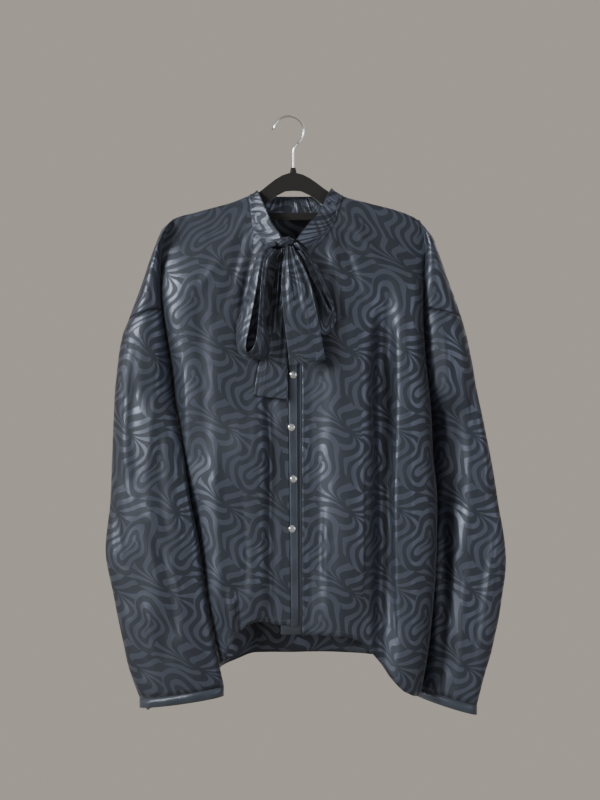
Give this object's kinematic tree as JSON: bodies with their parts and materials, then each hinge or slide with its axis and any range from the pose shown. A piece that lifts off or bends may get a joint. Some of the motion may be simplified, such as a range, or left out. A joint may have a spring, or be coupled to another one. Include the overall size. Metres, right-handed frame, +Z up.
{
  "type": "tie neck blouse on hanger",
  "caption": "Long-sleeved button-front blouse with a gathered stand collar tied in a bow at the neck, hung on a slim hanger with a wire hook.",
  "frame": {"origin": "inner top of the hook's bend, where the hanger rests on what it is hung from", "axes": "+Z up, the blouse faces -Y, +X to the wearer's left"},
  "size_m": [0.6005, 0.1284, 0.8985],
  "materials": {
    "jacquard": "slate blue satin jacquard, lustrous, with a tone-on-tone figure",
    "satin": "plain slate blue satin, glossy",
    "flock": "black flocking, matte",
    "chrome": "bright plated wire",
    "crystal": "clear cut crystal, mirrored behind"
  },
  "bodies": {
    "root": {"front_right": "jacquard", "front_left": "jacquard", "back": "jacquard", "sleeve_right": "jacquard", "sleeve_left": "jacquard", "collar": "jacquard", "bow_loop_right": "jacquard", "bow_loop_left": "jacquard", "tie_end_front": "jacquard", "tie_end_rear": "jacquard", "tie_knot": "jacquard", "placket_right": "satin", "placket_left": "satin", "cuff_right": "satin", "cuff_left": "satin", "button_1": "crystal", "button_2": "crystal", "button_3": "crystal", "button_4": "crystal", "hanger_body": "flock", "hanger_neck": "flock", "hanger_hook": "chrome"}
  },
  "joints": []
}
